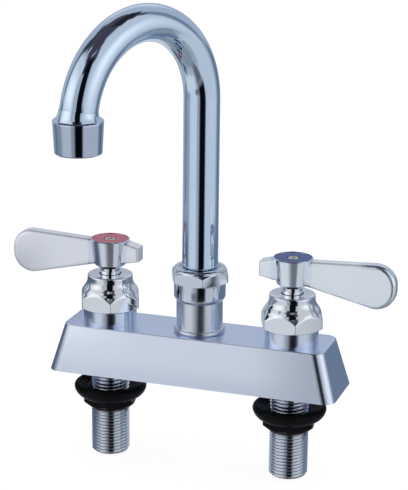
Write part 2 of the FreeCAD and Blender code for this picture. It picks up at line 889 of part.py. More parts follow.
def main():
    os.makedirs("parts", exist_ok=True)
    write("deck_body", deck_body())
    for name, side, lever_turn, hex_turn in (
        ("hot", -1, 180.0, hot_hex_deg),
        ("cold", 1, 0.0, cold_hex_deg),
    ):
        write(f"{name}_inlet_shank", at_valve(inlet_shank(), side))
        write(f"{name}_mounting_washer", at_valve(mounting_washer(), side))
        write(f"{name}_mounting_nut", at_valve(mounting_nut(), side))
        write(f"{name}_seat_seal", at_valve(seat_seal(), side))
        write(f"{name}_fixed_disc", at_valve(fixed_disc(), side))
        write(f"{name}_moving_disc", at_valve(moving_disc(), side))
        write(f"{name}_cartridge", at_valve(cartridge(), side))
        write(f"{name}_stem", at_valve(stem(), side))
        write(f"{name}_stem_seals", at_valve(stem_seals(), side))
        write(f"{name}_bonnet", at_valve(bonnet(hex_turn), side))
        write(f"{name}_handle", at_valve(handle(), side, lever_turn))
        write(f"{name}_index_ring", at_valve(index_ring(), side))
        write(f"{name}_handle_screw", at_valve(handle_screw(), side))
    write("spout_post", spout_post())
    write("spout_nut", spout_nut())
    write("thrust_washer", thrust_washer())
    write("spout_foot", spout_foot())
    write("foot_seals", foot_seals())
    write("spout_tube", spout_tube())
    write("tip_collar", tip_collar())
    write("aerator_shell", aerator_shell())
    write("aerator_insert", aerator_insert())
    write("aerator_washer", aerator_washer())


main()
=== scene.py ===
"""Looks of a deck-mount faucet: chrome castings, threaded shanks, black clamps and coloured index rings.

Metres, +Z up. The middle of the body's underside is the origin and the user stands at -Y.
"""

import logging
import math
from dataclasses import dataclass
from enum import Enum

import bmesh
import bpy
from mathutils import Matrix, Vector


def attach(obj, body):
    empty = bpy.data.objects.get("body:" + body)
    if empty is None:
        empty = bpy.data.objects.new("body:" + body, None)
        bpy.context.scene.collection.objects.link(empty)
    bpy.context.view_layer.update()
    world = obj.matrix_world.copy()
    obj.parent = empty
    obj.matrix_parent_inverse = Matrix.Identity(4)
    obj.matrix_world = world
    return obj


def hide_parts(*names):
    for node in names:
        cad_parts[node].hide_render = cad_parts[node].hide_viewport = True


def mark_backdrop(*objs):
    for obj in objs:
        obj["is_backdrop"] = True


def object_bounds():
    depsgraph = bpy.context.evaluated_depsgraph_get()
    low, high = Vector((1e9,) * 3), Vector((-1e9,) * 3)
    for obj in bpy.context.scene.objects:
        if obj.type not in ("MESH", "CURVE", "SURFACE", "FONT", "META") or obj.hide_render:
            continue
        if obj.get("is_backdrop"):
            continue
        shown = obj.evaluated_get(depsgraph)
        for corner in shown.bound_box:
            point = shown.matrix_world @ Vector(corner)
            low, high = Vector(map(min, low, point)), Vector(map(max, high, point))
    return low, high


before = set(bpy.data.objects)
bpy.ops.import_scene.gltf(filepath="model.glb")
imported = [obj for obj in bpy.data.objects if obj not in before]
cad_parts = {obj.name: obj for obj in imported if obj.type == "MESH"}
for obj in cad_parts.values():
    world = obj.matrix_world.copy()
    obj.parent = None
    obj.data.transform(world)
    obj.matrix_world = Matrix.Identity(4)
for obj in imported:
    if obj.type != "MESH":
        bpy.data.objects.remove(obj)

log = logging.getLogger("faucet")

MM = 0.001
UP = Vector((0, 0, 1))
# facets round a piece with flats, and how far they crowd towards the corners, from 0 to 1
FACETS = 216
CROWDING = 0.75
# what lies this far or more inside the flats, in millimetres, isn't pressed
MARGIN = 2
# edges that turn by more than this, in degrees, look sharp
SHARP_DEG = 34
# the clouding's scale as a part of the grain's, and a bump's depth in metres
CLOUDING = 0.12
BUMP_DEPTH = 0.0001
Colour = tuple[float, float, float]
Point = tuple[float, float]


class Side(Enum):
    """The two valves, by the sign of their X."""

    HOT = -1
    COLD = 1

    @property
    def word(self) -> str:
        """The side's name as the pieces use it."""
        return self.name.lower()


class Nodes:
    """Shader nodes of one material or world, with short ways to add and join them."""

    def __init__(self, tree: bpy.types.NodeTree) -> None:
        """Empties the tree.

        Args:
            tree: The node tree to fill.
        """
        self.tree = tree
        tree.nodes.clear()

    def add(self, kind: str, **settings: object) -> bpy.types.Node:
        """Adds a node.

        Args:
            kind: The node's type, such as ShaderNodeMath.
            settings: Attributes of the node.

        Returns:
            The new node.
        """
        node = self.tree.nodes.new(kind)
        for name, value in settings.items():
            setattr(node, name, value)
        return node

    def join(self, source: bpy.types.NodeSocket, target: bpy.types.NodeSocket) -> None:
        """Links two sockets."""
        self.tree.links.new(source, target)

    def feed(self, value: bpy.types.NodeSocket | float | Colour, target: bpy.types.NodeSocket) -> None:
        """Links a socket, or sets a plain value.

        Args:
            value: A socket or a plain value.
            target: The input that takes it.
        """
        if isinstance(value, bpy.types.NodeSocket):
            self.join(value, target)
        else:
            target.default_value = value

    def maths(self, operation: str, *values: bpy.types.NodeSocket | float) -> bpy.types.NodeSocket:
        """A Math node.

        Args:
            operation: The node's operation, such as MULTIPLY.
            values: Its inputs, sockets or numbers.

        Returns:
            The result's socket.
        """
        node = self.add("ShaderNodeMath", operation=operation)
        for i, value in enumerate(values):
            self.feed(value, node.inputs[i])
        return node.outputs[0]

    def between(self, value: bpy.types.NodeSocket, low: float, high: float) -> bpy.types.NodeSocket:
        """A smooth step between two numbers.

        Args:
            value: What is looked at.
            low: Where the step is 0.
            high: Where the step is 1.

        Returns:
            The step's socket.
        """
        node = self.add("ShaderNodeMapRange", interpolation_type="SMOOTHSTEP")
        self.join(value, node.inputs["Value"])
        node.inputs["From Min"].default_value = low
        node.inputs["From Max"].default_value = high
        return node.outputs[0]

    def blend(
        self,
        share: bpy.types.NodeSocket | float,
        first: bpy.types.NodeSocket | Colour,
        second: bpy.types.NodeSocket | Colour,
    ) -> bpy.types.NodeSocket:
        """A colour mix.

        Args:
            share: 0 for the first colour, 1 for the second.
            first: A colour or a socket.
            second: A colour or a socket.

        Returns:
            The mixed colour's socket.
        """
        node = self.add("ShaderNodeMix", data_type="RGBA")
        self.feed(share, node.inputs["Factor"])
        for value, socket in ((first, node.inputs[6]), (second, node.inputs[7])):
            self.feed(value if isinstance(value, bpy.types.NodeSocket) else (*value, 1.0), socket)
        return node.outputs[2]

    def noise(self, scale: float, detail: float = 3.0) -> bpy.types.NodeSocket:
        """Noise on the object's own coordinates.

        Args:
            scale: Cells in a metre.
            detail: The noise's detail.

        Returns:
            The noise value's socket.
        """
        place = self.add("ShaderNodeTexCoord")
        node = self.add("ShaderNodeTexNoise")
        node.inputs["Scale"].default_value = scale
        node.inputs["Detail"].default_value = detail
        self.join(place.outputs["Object"], node.inputs["Vector"])
        return node.outputs[0]

    def off_axis(self, reach: float) -> bpy.types.NodeSocket:
        """Distance in metres from the nearer of two upright axes.

        Args:
            reach: How far the axes stand from the middle, along X.

        Returns:
            The distance's socket.
        """
        along, deep, _ = self.place()
        across = self.maths("SUBTRACT", self.maths("ABSOLUTE", along), reach)
        squares = self.maths("ADD", self.maths("POWER", across, 2.0), self.maths("POWER", deep, 2.0))
        return self.maths("SQRT", squares)

    def place(self) -> tuple[bpy.types.NodeSocket, ...]:
        """The place on the object.

        Returns:
            The X, Y and Z sockets of the object's own coordinates.
        """
        place = self.add("ShaderNodeTexCoord")
        split = self.add("ShaderNodeSeparateXYZ")
        self.join(place.outputs["Object"], split.inputs[0])
        return tuple(split.outputs)

    def spread(self, value: bpy.types.NodeSocket, low: float, high: float) -> bpy.types.NodeSocket:
        """Spreads a value from 0 to 1 between two numbers.

        Args:
            value: What is spread.
            low: The result at 0.
            high: The result at 1.

        Returns:
            The result's socket.
        """
        node = self.add("ShaderNodeMapRange")
        self.join(value, node.inputs["Value"])
        node.inputs["To Min"].default_value = low
        node.inputs["To Max"].default_value = high
        return node.outputs[0]


@dataclass(frozen=True)
class Finish:
    """A surface finish: base colour with a mottle, roughness with a spread, and a fine bump.

    A groove is the reach of two upright axes and the two distances from them, floor and crest, in
    metres, between which the finish clears from a painted shade in the thread's roots to bright.
    """

    name: str
    colour: Colour
    mottle: Colour
    roughness: tuple[float, float]
    metallic: float = 0.0
    grain: float = 300.0
    bump: float = 0.0
    specular: float = 0.5
    coat: float = 0.0
    coat_roughness: float = 0.05
    groove: tuple[float, float, float] | None = None
    # the painted shade's colour in a groove's roots
    root_shade: Colour = (0.2, 0.215, 0.24)

    def material(self) -> bpy.types.Material:
        """Builds the material.

        Returns:
            The new material.
        """
        material = bpy.data.materials.new(self.name)
        material.use_nodes = True
        nodes = Nodes(material.node_tree)
        out = nodes.add("ShaderNodeOutputMaterial")
        shader = nodes.add("ShaderNodeBsdfPrincipled")
        nodes.join(shader.outputs[0], out.inputs["Surface"])
        grain = nodes.noise(self.grain)
        cloud = nodes.noise(self.grain * CLOUDING, 2.0)
        colour = nodes.blend(cloud, self.colour, self.mottle)
        # painted shade: darker towards the thread's roots, clearing to the plain colour at the crests
        if self.groove:
            reach, floor, crest = self.groove
            colour = nodes.blend(nodes.between(nodes.off_axis(reach), floor, crest), self.root_shade, colour)
        nodes.join(colour, shader.inputs["Base Color"])
        shader.inputs["Metallic"].default_value = self.metallic
        nodes.join(nodes.spread(grain, *self.roughness), shader.inputs["Roughness"])
        shader.inputs["Specular IOR Level"].default_value = self.specular
        shader.inputs["Coat Weight"].default_value = self.coat
        shader.inputs["Coat Roughness"].default_value = self.coat_roughness
        if self.bump:
            bump = nodes.add("ShaderNodeBump")
            bump.inputs["Strength"].default_value = self.bump
            bump.inputs["Distance"].default_value = BUMP_DEPTH
            nodes.join(grain, bump.inputs["Height"])
            nodes.join(bump.outputs[0], shader.inputs["Normal"])
        # painted light and shade by place, where the finish lays any
        self.paint_light_by_place(nodes, shader, colour)
        return material

    def paint_light_by_place(self, nodes: Nodes, shader: bpy.types.Node, colour: bpy.types.NodeSocket) -> None:
        """Paints light and shade on the piece by place, and may change its roughness. The plain finish stays
        as it is.

        Args:
            nodes: The material's nodes.
            shader: The material's shader.
            colour: The base colour so far.
        """

    def calm(self, nodes: Nodes, shader: bpy.types.Node, share: bpy.types.NodeSocket, least: float) -> None:
        """Smooths the finish where a share is 0, to a part of its plain roughness.

        Args:
            nodes: The material's nodes.
            shader: The material's shader.
            share: 0 for smooth, 1 for plain.
            least: The part of the roughness that the smooth place keeps.
        """
        plain = shader.inputs["Roughness"].links[0].from_socket
        calmed = nodes.maths("MULTIPLY", plain, nodes.spread(share, least, 1.0))
        nodes.join(calmed, shader.inputs["Roughness"])


@dataclass(frozen=True)
class Casting(Finish):
    """The body's plating: painted light on its front, strongest in the hot upper corner, and smoother
    collars.

    Painted light, painted highlight, deep colour and sky colour follow the photograph's light, not the metal.
    The painted light and highlight take metal away so more white diffuse light shows; the deep colour is
    painted shade at the front's cold end and the sky colour a painted reflection on the top. Lengths are
    metres in the object's frame. The front stands at the foot's half depth and leans back by the lean. The
    painted light and highlight grow between their first two rises, from the part that the third gives to the
    whole.
    """

    painted_light: float = 0.26
    painted_light_ends: tuple[float, float] = (0.03, 0.07)
    painted_light_rises: tuple[float, float, float] = (0.0, 0.014, 0.22)
    painted_highlight: float = 0.6
    painted_highlight_ends: tuple[float, float] = (-0.1, -0.02)
    painted_highlight_rises: tuple[float, float, float] = (0.012, 0.026, 0.15)
    top: float = 0.0256
    half_depth: float = 0.02065
    lean: float = 0.1562
    front_blur: tuple[float, float] = (0.0016, 0.0004)
    top_blur: tuple[float, float] = (0.0005, 0.0001)
    collar_blur: tuple[float, float] = (0.0001, 0.0004)
    sky_share: float = 0.9
    collar_calm: float = 0.85
    # painted shade at the front's cold end
    deep: Colour = (0.7, 0.75, 0.83)
    # painted reflection on the top
    sky: Colour = (0.71, 0.79, 0.97)

    def paint_light_by_place(self, nodes: Nodes, shader: bpy.types.Node, colour: bpy.types.NodeSocket) -> None:
        """Lays painted light, painted shade and a painted sky reflection by place.

        Args:
            nodes: The material's nodes.
            shader: The material's shader.
            colour: The base colour so far.
        """
        across, deep, up = nodes.place()
        out = nodes.maths("SUBTRACT", nodes.maths("MULTIPLY", up, self.lean), deep)
        front = nodes.between(out, *(self.half_depth - blur for blur in self.front_blur))
        collars = nodes.between(up, *(self.top + blur for blur in self.collar_blur))
        block = nodes.maths("SUBTRACT", 1.0, collars)
        # painted light: the two shares below take metal away from the front so more white diffuse light
        # shows, most in the hot upper corner
        painted_light = self.lay(nodes, across, up, self.painted_light, self.painted_light_ends, self.painted_light_rises)
        painted_highlight = self.lay(nodes, across, up, self.painted_highlight, self.painted_highlight_ends, self.painted_highlight_rises)
        share = nodes.maths("MULTIPLY", nodes.maths("ADD", painted_light, painted_highlight), front)
        nodes.join(nodes.maths("SUBTRACT", 1.0, share), shader.inputs["Metallic"])
        # painted shade: the deep colour darkens the front towards its cold end
        cold = nodes.maths("MULTIPLY", nodes.between(across, *self.painted_light_ends), front)
        colour = nodes.blend(cold, colour, self.deep)
        # painted reflection: the sky colour lies on the top, not on the collars
        level = nodes.between(up, *(self.top - blur for blur in self.top_blur))
        roof = nodes.maths("MULTIPLY", nodes.maths("MULTIPLY", level, block), self.sky_share)
        nodes.join(nodes.blend(roof, colour, self.sky), shader.inputs["Base Color"])
        self.calm(nodes, shader, block, self.collar_calm)

    def lay(
        self,
        nodes: Nodes,
        across: bpy.types.NodeSocket,
        up: bpy.types.NodeSocket,
        most: float,
        ends: tuple[float, float],
        rises: tuple[float, float, float],
    ) -> bpy.types.NodeSocket:
        """A share of painted light that falls towards the cold side and the foot.

        Args:
            nodes: The material's nodes.
            across: The X coordinate.
            up: The Z coordinate.
            most: The share at its strongest.
            ends: Where along X it starts to fall and where it is gone.
            rises: The two heights it rises between, and the part of it below them.

        Returns:
            The share's socket.
        """
        low, high, least = rises
        level = nodes.spread(nodes.between(up, low, high), least * most, most)
        return nodes.maths("MULTIPLY", nodes.maths("SUBTRACT", 1.0, nodes.between(across, *ends)), level)


@dataclass(frozen=True)
class Grip(Finish):
    """A handle's plating: smooth on the hub, with painted light on the blades.

    The painted light takes metal away so the blades show more white diffuse light; it follows the
    photograph's light, not the metal. The hub and tip are distances in metres from the valve's axis. Between
    the tip's two distances the rounded rim clears from the painted light again.
    """

    painted_light: float = 0.35
    reach: float = 0.0508
    half_thickness: float = 0.004
    flat_blur: tuple[float, float] = (0.0002, 0.00003)
    hub_calm: float = 0.35
    hub: tuple[float, float] = (0.0105, 0.0125)
    tip: tuple[float, float] | None = None

    def paint_light_by_place(self, nodes: Nodes, shader: bpy.types.Node, colour: bpy.types.NodeSocket) -> None:
        """Lays the painted light on the blades and smooths the hub.

        Args:
            nodes: The material's nodes.
            shader: The material's shader.
            colour: The base colour so far. Not used.
        """
        # painted light: the blades lose metal so more white diffuse light shows; the hub keeps it
        distance = nodes.off_axis(self.reach)
        blade = nodes.between(distance, *self.hub)
        share = blade
        if self.tip:
            _, deep, _ = nodes.place()
            side = nodes.maths("ABSOLUTE", deep)
            flat = nodes.between(side, *(self.half_thickness - blur for blur in self.flat_blur))
            near = nodes.maths("SUBTRACT", 1.0, nodes.between(distance, *self.tip))
            share = nodes.maths("MULTIPLY", blade, nodes.maths("MAXIMUM", flat, near))
        nodes.join(nodes.spread(share, self.metallic, self.metallic - self.painted_light), shader.inputs["Metallic"])
        self.calm(nodes, shader, blade, self.hub_calm)


POLISHED = Finish(
    "polished_chrome", (0.93, 0.935, 0.95), (0.9, 0.91, 0.93), (0.02, 0.06), metallic=1.0, grain=90.0
)
# painted reflection: the tube's blue tint stands for the bluish light that its chrome mirrors
REFLECTION_TINTED_CHROME = Finish(
    "gooseneck_chrome", (0.76, 0.87, 0.99), (0.73, 0.85, 0.97), (0.02, 0.05), metallic=1.0, grain=90.0
)
AERATOR = Finish(
    "aerator_chrome", (0.6, 0.66, 0.76), (0.56, 0.62, 0.73), (0.03, 0.08), metallic=1.0, grain=90.0
)
BUFFED = Finish("post_chrome", (0.84, 0.87, 0.91), (0.8, 0.83, 0.87), (0.22, 0.3), metallic=1.0, grain=120.0)
PRESSED = Finish(
    "nut_chrome", (0.78, 0.82, 0.87), (0.72, 0.76, 0.82), (0.08, 0.16), metallic=1.0, grain=120.0
)
SATIN = Casting(
    "satin_chrome", (0.84, 0.89, 0.98), (0.81, 0.87, 0.96), (0.2, 0.25), metallic=1.0, grain=60.0, bump=0.02
)
# the two levers are one chrome: the colours, painted light and clearing rim that differ between them are
# painted light and shade for how light falls on each side
HOT_LEVER = Grip(
    "hot_lever_chrome",
    (0.85, 0.865, 0.92),
    (0.82, 0.835, 0.895),
    (0.18, 0.26),
    metallic=1.0,
    grain=140.0,
    painted_light=0.38,
)
COLD_LEVER = Grip(
    "cold_lever_chrome",
    (0.91, 0.96, 1.0),
    (0.89, 0.94, 0.99),
    (0.18, 0.26),
    metallic=1.0,
    grain=140.0,
    tip=(0.034, 0.042),
)
THREAD = Finish(
    "rolled_thread",
    (0.95, 0.965, 1.0),
    (0.86, 0.88, 0.93),
    (0.08, 0.2),
    metallic=1.0,
    grain=400.0,
    bump=0.05,
    # painted shade in the thread's roots
    groove=(0.0508, 0.0091, 0.0099),
)
BRASS = Finish(
    "turned_brass", (0.72, 0.52, 0.22), (0.62, 0.43, 0.17), (0.18, 0.34), metallic=1.0, grain=500.0, bump=0.08
)
PLATED = Finish("plated_screw", (0.9, 0.86, 0.76), (0.84, 0.79, 0.69), (0.1, 0.2), metallic=1.0, grain=500.0)
CERAMIC = Finish(
    "ground_ceramic", (0.84, 0.82, 0.77), (0.76, 0.73, 0.68), (0.2, 0.32), grain=500.0, bump=0.05
)
PLASTIC = Finish(
    "black_plastic",
    (0.002, 0.002, 0.003),
    (0.006, 0.006, 0.007),
    (0.3, 0.42),
    grain=320.0,
    bump=0.2,
    specular=0.05,
)
RUBBER = Finish("black_rubber", (0.016, 0.016, 0.017), (0.03, 0.03, 0.03), (0.5, 0.7), grain=700.0, bump=0.3)
NYLON = Finish("white_plastic", (0.78, 0.78, 0.76), (0.68, 0.68, 0.66), (0.3, 0.45), grain=400.0, bump=0.1)
RED = Finish("red_enamel", (0.5, 0.035, 0.085), (0.4, 0.025, 0.06), (0.2, 0.3), grain=120.0, coat=0.4)
BLUE = Finish(
    "blue_enamel", (0.025, 0.065, 0.27), (0.015, 0.04, 0.2), (0.2, 0.3), grain=120.0, specular=0.3, coat=0.15
)


@dataclass(frozen=True)
class Panel:
    """A lit wall of the tent: degrees right of the camera and above the horizon, with soft edges."""

    left: float
    right: float
    bottom: float
    top: float
    light: Colour
    soft: float = 4.0
    soft_up: float = 6.0


@dataclass(frozen=True)
class Flag:
    """A dark upright card beside the body, seen only in reflections. Its edges fade out.

    It runs round the object from left to right, in degrees right of the camera, at one distance in
    metres, and from bottom to top.
    """

    left: float
    right: float
    distance: float
    bottom: float
    top: float
    light: Colour
    fade: float = 0.25
    steps: int = 24

    def build(self, name: str, azimuth: float) -> bpy.types.Object:
        """Bends the card round the object.

        Args:
            name: The card's name.
            azimuth: The camera's place, in degrees from the front.

        Returns:
            The card.
        """
        form = bmesh.new()
        angle = math.radians(azimuth + self.left)
        start = Vector((math.sin(angle), -math.cos(angle), 0)) * self.distance
        foot = form.verts.new(start + UP * self.bottom)
        head = form.verts.new(start + UP * self.top)
        edge = form.edges.new((foot, head))
        sweep = math.radians(self.right - self.left)
        bmesh.ops.spin(form, geom=[foot, head, edge], axis=UP, angle=sweep, steps=self.steps)
        layer = form.loops.layers.uv.new("spread")
        for face in form.faces:
            for loop in face.loops:
                place = loop.vert.co
                turn = (math.degrees(math.atan2(place.x, -place.y)) - azimuth - self.left) % 360
                # the left edge can come out just under a full turn
                share = min(turn, 360 - turn) if turn > 359 else turn
                level = float(place.z > (self.bottom + self.top) / 2)
                loop[layer].uv = (share / (self.right - self.left), level)
        mesh = bpy.data.meshes.new(name)
        form.to_mesh(mesh)
        form.free()
        card = bpy.data.objects.new(name, mesh)
        bpy.context.scene.collection.objects.link(card)
        mesh.materials.append(self.material(name))
        for use in ("camera", "diffuse", "transmission", "volume_scatter", "shadow"):
            setattr(card, f"visible_{use}", False)
        return card

    def material(self, name: str) -> bpy.types.Material:
        """A dim glow that fades to clear at the card's edges.

        Args:
            name: The material's name.

        Returns:
            The new material.
        """
        material = bpy.data.materials.new(name)
        material.use_nodes = True
        nodes = Nodes(material.node_tree)
        out = nodes.add("ShaderNodeOutputMaterial")
        mix = nodes.add("ShaderNodeMixShader")
        clear = nodes.add("ShaderNodeBsdfTransparent")
        glow = nodes.add("ShaderNodeEmission")
        glow.inputs["Color"].default_value = (*self.light, 1.0)
        split = nodes.add("ShaderNodeSeparateXYZ")
        nodes.join(nodes.add("ShaderNodeTexCoord").outputs["UV"], split.inputs[0])
        share: bpy.types.NodeSocket | float = 1.0
        for place in split.outputs[:2]:
            for edge, inside in ((0.0, self.fade), (1.0, 1.0 - self.fade)):
                share = nodes.maths("MULTIPLY", share, nodes.between(place, edge, inside))
        nodes.join(share, mix.inputs[0])
        nodes.join(clear.outputs[0], mix.inputs[1])
        nodes.join(glow.outputs[0], mix.inputs[2])
        nodes.join(mix.outputs[0], out.inputs["Surface"])
        return material


@dataclass
class Studio:
    """White tent, pale floor, dark flags and camera.

    The panels, the flags and their lights were set to bring the chrome's reflections near the
    photograph's. Only reflections see them.
    """

    azimuth: float = 18.214
    elevation: float = 16.288
    roll: float = 0.652
    lens: float = 137.47
    place: Colour = (0.297118, -0.896765, 0.348794)
    floor_height: float = -0.0494
    floor_size: float = 60.0
    floor_tones: tuple[float, float] = (0.2, 0.21)
    floor_glow: float = 0.86
    wall: Colour = (0.42, 0.47, 0.56)
    flags: tuple[Flag, ...] = (
        Flag(-165, -72, 0.125, -0.045, 0.062, (0.09, 0.125, 0.19)),
        Flag(62, 165, 0.125, -0.045, 0.062, (0.15, 0.2, 0.29)),
    )
    panels: tuple[Panel, ...] = (
        # floor glow all round, dimmer straight down
        Panel(-400, 400, -110, -20, (0.42, 0.46, 0.5), soft=0, soft_up=10),
        Panel(-400, 400, -110, -46, (0.27, 0.3, 0.33), soft=0, soft_up=22),
        Panel(76, 132, -62, 0, (0.25, 0.31, 0.42), soft=14, soft_up=12),
        Panel(118, 168, -24, 2, (0.24, 0.28, 0.36), soft=14, soft_up=8),
        Panel(-146, -98, -24, 2, (0.27, 0.32, 0.4), soft=12, soft_up=8),
        Panel(-123, -103, -32, 6, (0.13, 0.17, 0.23), soft=7, soft_up=8),
        Panel(114, 146, -32, 6, (0.14, 0.18, 0.25), soft=10, soft_up=8),
        # back wall, brighter straight behind
        Panel(146, 214, 16, 46, (0.66, 0.7, 0.78), soft=20, soft_up=12),
        Panel(-214, -146, 16, 46, (0.66, 0.7, 0.78), soft=20, soft_up=12),
        Panel(146, 214, -54, -20, (0.62, 0.66, 0.74), soft=20, soft_up=12),
        Panel(-214, -146, -54, -20, (0.62, 0.66, 0.74), soft=20, soft_up=12),
        # left panel: plain sheet, bright middle, dim lower left, floor glow under it
        Panel(-110, -12, -62, 55, (0.62, 0.66, 0.72), soft=12, soft_up=7),
        Panel(-112, -26, -7, 45, (1.0, 1.03, 1.06), soft=40, soft_up=24),
        Panel(-122, -66, -25, -8, (0.28, 0.34, 0.42), soft=26, soft_up=5),
        Panel(-112, -30, -52, -21, (0.66, 0.69, 0.72), soft=30, soft_up=9),
        Panel(-112, -14, -68, -46, (0.42, 0.45, 0.49), soft=8, soft_up=10),
        Panel(-46, -8, -4, 42, (0.42, 0.45, 0.5), soft=14, soft_up=8),
        Panel(-34, -8, -62, 6, (0.36, 0.39, 0.44), soft=9, soft_up=9),
        Panel(-44, -6, -32, -20, (0.17, 0.19, 0.23), soft=10, soft_up=4),
        # right panel: plain sheet and bright middle, dimmer outside and below
        Panel(20, 112, -62, 62, (0.56, 0.6, 0.66), soft=9, soft_up=6),
        Panel(26, 112, -17, 36, (0.95, 0.99, 1.04), soft=42, soft_up=24),
        Panel(86, 116, -62, -18, (0.27, 0.3, 0.35), soft=10, soft_up=8),
        Panel(24, 112, -68, -42, (0.36, 0.39, 0.43), soft=8, soft_up=10),
        # dark ceiling, lower where the panels' tops curve down
        Panel(-400, 400, 63, 110, (0.065, 0.06, 0.085), soft=0, soft_up=4),
        Panel(-152, -88, 50, 110, (0.06, 0.06, 0.08), soft=14, soft_up=5),
        Panel(-106, -62, 53, 110, (0.06, 0.06, 0.08), soft=14, soft_up=5),
        Panel(-60, 38, 53, 110, (0.055, 0.05, 0.075), soft=12, soft_up=6),
        Panel(-46, -10, 46, 110, (0.055, 0.05, 0.075), soft=10, soft_up=7),
        Panel(70, 150, 58, 110, (0.02, 0.022, 0.03), soft=8, soft_up=5),
        Panel(90, 140, 51, 110, (0.018, 0.02, 0.028), soft=10, soft_up=5),
        # gaps beside the two panels
        Panel(-122, -104, 0, 42, (0.13, 0.165, 0.22), soft=7, soft_up=10),
        Panel(-126, -101, 28, 66, (0.045, 0.05, 0.065), soft=8, soft_up=14),
        Panel(-124, -89, 43, 66, (0.045, 0.05, 0.065), soft=6, soft_up=5),
        Panel(102, 124, -4, 54, (0.19, 0.23, 0.31), soft=8, soft_up=8),
        Panel(102, 122, 42, 60, (0.06, 0.07, 0.09), soft=6, soft_up=6),
        # dark slit that the camera looks through
        Panel(-26, 28, -70, -26, (0.13, 0.14, 0.17), soft=15, soft_up=16),
        Panel(-19, 31, -38, 6, (0.003, 0.004, 0.006), soft=12, soft_up=9),
        Panel(-17, 18, -14, 58, (0.003, 0.004, 0.006), soft=4, soft_up=9),
        Panel(8, 31, 36, 60, (0.05, 0.055, 0.07), soft=8, soft_up=6),
        Panel(-33, -8, 35, 58, (0.02, 0.021, 0.03), soft=6, soft_up=5),
    )

    def camera(self) -> None:
        """Sets the camera at the photograph's place and angle."""
        a, e, r = (math.radians(v) for v in (self.azimuth, self.elevation, self.roll))
        back = Vector((math.sin(a) * math.cos(e), -math.cos(a) * math.cos(e), math.sin(e)))
        right = Vector((math.cos(a), math.sin(a), 0))
        up = back.cross(right)
        across = right * math.cos(r) + up * math.sin(r)
        upward = up * math.cos(r) - right * math.sin(r)
        data = bpy.data.cameras.new("camera")
        data.lens = self.lens
        data.sensor_width = 36.0
        data.clip_start, data.clip_end = 0.05, 100.0
        camera = bpy.data.objects.new("camera", data)
        turn = Matrix((across, upward, back)).transposed()
        camera.matrix_world = Matrix.Translation(self.place) @ turn.to_4x4()
        bpy.context.scene.collection.objects.link(camera)
        bpy.context.scene.camera = camera

    def tent(self) -> None:
        """Builds the world: panels by direction for the chrome, plain white for all else."""
        world = bpy.data.worlds.new("tent")
        world.use_nodes = True
        bpy.context.scene.world = world
        nodes = Nodes(world.node_tree)
        out = nodes.add("ShaderNodeOutputWorld")
        light = nodes.add("ShaderNodeBackground")
        nodes.join(light.outputs[0], out.inputs["Surface"])
        place = nodes.add("ShaderNodeTexCoord")
        turn = nodes.add("ShaderNodeMapping")
        turn.inputs["Rotation"].default_value = (0, 0, -math.radians(self.azimuth))
        split = nodes.add("ShaderNodeSeparateXYZ")
        nodes.join(place.outputs["Generated"], turn.inputs["Vector"])
        nodes.join(turn.outputs["Vector"], split.inputs[0])
        across, along, height = split.outputs
        ahead = nodes.maths("MULTIPLY", along, -1.0)
        round_deg = nodes.maths("DEGREES", nodes.maths("ARCTAN2", across, ahead))
        up_deg = nodes.maths("DEGREES", nodes.maths("ARCSINE", height))
        colour: bpy.types.NodeSocket | Colour = self.wall
        for panel in self.panels:
            colour = nodes.blend(self.mask(nodes, panel, round_deg, up_deg), colour, panel.light)
        ray = nodes.add("ShaderNodeLightPath")
        plain = nodes.maths("MAXIMUM", ray.outputs["Is Camera Ray"], ray.outputs["Is Diffuse Ray"])
        nodes.join(nodes.blend(plain, colour, (1.0, 1.0, 1.0)), light.inputs["Color"])

    def mask(
        self, nodes: Nodes, panel: Panel, round_deg: bpy.types.NodeSocket, up_deg: bpy.types.NodeSocket
    ) -> bpy.types.NodeSocket:
        """How much of a panel lies in a direction.

        Args:
            nodes: The world's nodes.
            panel: The panel.
            round_deg: Degrees right of the camera.
            up_deg: Degrees above the horizon.

        Returns:
            A value from 0 to 1.
        """
        value: bpy.types.NodeSocket | float = 1.0
        for place, low, high, soft in (
            (round_deg, panel.left, panel.right, panel.soft),
            (up_deg, panel.bottom, panel.top, panel.soft_up),
        ):
            if low > -180:
                value = nodes.maths("MULTIPLY", value, nodes.between(place, low, low + soft))
            if high < 180:
                value = nodes.maths("MULTIPLY", value, nodes.between(place, high, high - soft))
        return value

    def floor(self) -> None:
        """Lays the pale floor, which the chrome doesn't mirror."""
        form = bmesh.new()
        bmesh.ops.create_grid(form, x_segments=1, y_segments=1, size=self.floor_size / 2)
        bmesh.ops.translate(form, vec=(0, 0, self.floor_height), verts=form.verts)
        mesh = bpy.data.meshes.new("floor")
        form.to_mesh(mesh)
        form.free()
        floor = bpy.data.objects.new("floor", mesh)
        bpy.context.scene.collection.objects.link(floor)
        material = bpy.data.materials.new("pale_floor")
        material.use_nodes = True
        nodes = Nodes(material.node_tree)
        out = nodes.add("ShaderNodeOutputMaterial")
        shader = nodes.add("ShaderNodeBsdfPrincipled")
        nodes.join(shader.outputs[0], out.inputs["Surface"])
        plain, mottle = ((tone, tone, tone) for tone in self.floor_tones)
        nodes.join(nodes.blend(nodes.noise(30.0), plain, mottle), shader.inputs["Base Color"])
        shader.inputs["Roughness"].default_value = 0.9
        shader.inputs["Specular IOR Level"].default_value = 0.0
        shader.inputs["Emission Color"].default_value = (1, 1, 1, 1)
        shader.inputs["Emission Strength"].default_value = self.floor_glow
        mesh.materials.append(material)
        floor.visible_glossy = False
        floor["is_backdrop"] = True

    def build(self) -> None:
        """Builds the whole studio."""
        self.camera()
        self.tent()
        self.floor()
        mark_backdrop(*(flag.build(f"flag_{i}", self.azimuth) for i, flag in enumerate(self.flags)))
        settings = bpy.context.scene.view_settings
        settings.view_transform = "Standard"
        settings.look = "None"


